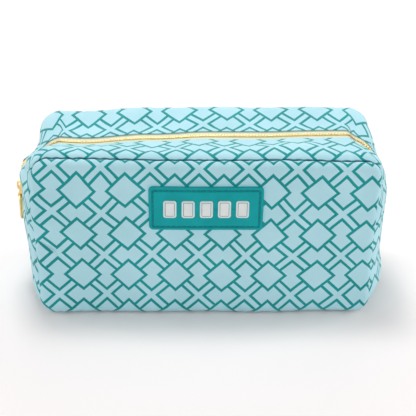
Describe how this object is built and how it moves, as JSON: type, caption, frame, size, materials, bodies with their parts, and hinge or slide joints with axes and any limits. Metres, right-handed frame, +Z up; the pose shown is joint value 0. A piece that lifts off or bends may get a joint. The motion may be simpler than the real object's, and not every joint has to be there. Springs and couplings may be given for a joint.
{
  "type": "game tile bag",
  "caption": "Soft padded box bag for game tiles, with a zip over the top, a metal slider and a moulded front patch.",
  "frame": {"origin": "centre of the flat base, on the surface the bag stands on", "axes": "+X along the bag to the right seen from the front, +Y from the front panel to the back panel, +Z up"},
  "size_m": [0.2711, 0.0998, 0.1243],
  "materials": {
    "printed_canvas": "woven canvas with a teal lattice print",
    "padding": "open cell foam",
    "lining": "thin plain woven lining",
    "binding": "ribbed grosgrain tape",
    "zip_tape": "herringbone woven tape",
    "gold_metal": "polished light gold plating",
    "patch_rubber": "matt moulded rubber",
    "motif_rubber": "matt moulded rubber",
    "thread": "twisted polyester thread"
  },
  "bodies": {
    "bag": {"back_foam": "padding", "back_left_strip_end": "printed_canvas", "back_left_strip_end_foam": "padding", "back_left_strip_end_lining": "lining", "back_left_tape_end": "zip_tape", "back_lining": "lining", "back_panel": "printed_canvas", "back_right_strip_end": "printed_canvas", "back_right_strip_end_foam": "padding", "back_right_strip_end_lining": "lining", "back_right_tape_end": "zip_tape", "back_seam_binding": "binding", "closing_stops": "gold_metal", "front_foam": "padding", "front_left_strip_end": "printed_canvas", "front_left_strip_end_foam": "padding", "front_left_strip_end_lining": "lining", "front_left_tape_end": "zip_tape", "front_lining": "lining", "front_panel": "printed_canvas", "front_right_strip_end": "printed_canvas", "front_right_strip_end_foam": "padding", "front_right_strip_end_lining": "lining", "front_right_tape_end": "zip_tape", "front_seam_binding": "binding", "gusset": "printed_canvas", "gusset_foam": "padding", "gusset_lining": "lining", "label_motif": "motif_rubber", "label_patch": "patch_rubber", "label_stitches": "thread", "left_side_teeth": "gold_metal", "opening_stop": "gold_metal", "right_side_teeth": "gold_metal"},
    "front_lip": {"front_flap_strip": "printed_canvas", "front_flap_strip_foam": "padding", "front_flap_strip_lining": "lining", "front_flap_tape": "zip_tape", "front_flap_teeth": "gold_metal"},
    "back_lip": {"back_flap_strip": "printed_canvas", "back_flap_strip_foam": "padding", "back_flap_strip_lining": "lining", "back_flap_tape": "zip_tape", "back_flap_teeth": "gold_metal"},
    "slider": {"slider_body": "gold_metal", "slider_bridge": "gold_metal"},
    "pull_link": {"pull_link": "gold_metal"},
    "pull_ring": {"pull_ring": "gold_metal"}
  },
  "joints": [
    {"name": "front_lip_fold", "type": "hinge", "parent": "bag", "child": "front_lip", "pos_m": [0, -0.04398, 0.122], "axis": [1, 0, 0], "range_deg": [0, 75]},
    {"name": "back_lip_fold", "type": "hinge", "parent": "bag", "child": "back_lip", "pos_m": [0, 0.04398, 0.122], "axis": [-1, 0, 0], "range_deg": [0, 75]},
    {"name": "slider_run", "type": "slide", "parent": "bag", "child": "slider", "axis": [0, 0, 1], "range_m": [0, 0.01], "deforming": ["left_side_teeth"]},
    {"name": "pull_link_swing", "type": "hinge", "parent": "slider", "child": "pull_link", "pos_m": [-0.13563, 0, 0.07975], "axis": [0, 1, 0], "range_deg": [0, 90]},
    {"name": "pull_ring_swing", "type": "hinge", "parent": "pull_link", "child": "pull_ring", "pos_m": [-0.13563, 0, 0.07285], "axis": [0, 1, 0], "range_deg": [0, 80]}
  ]
}
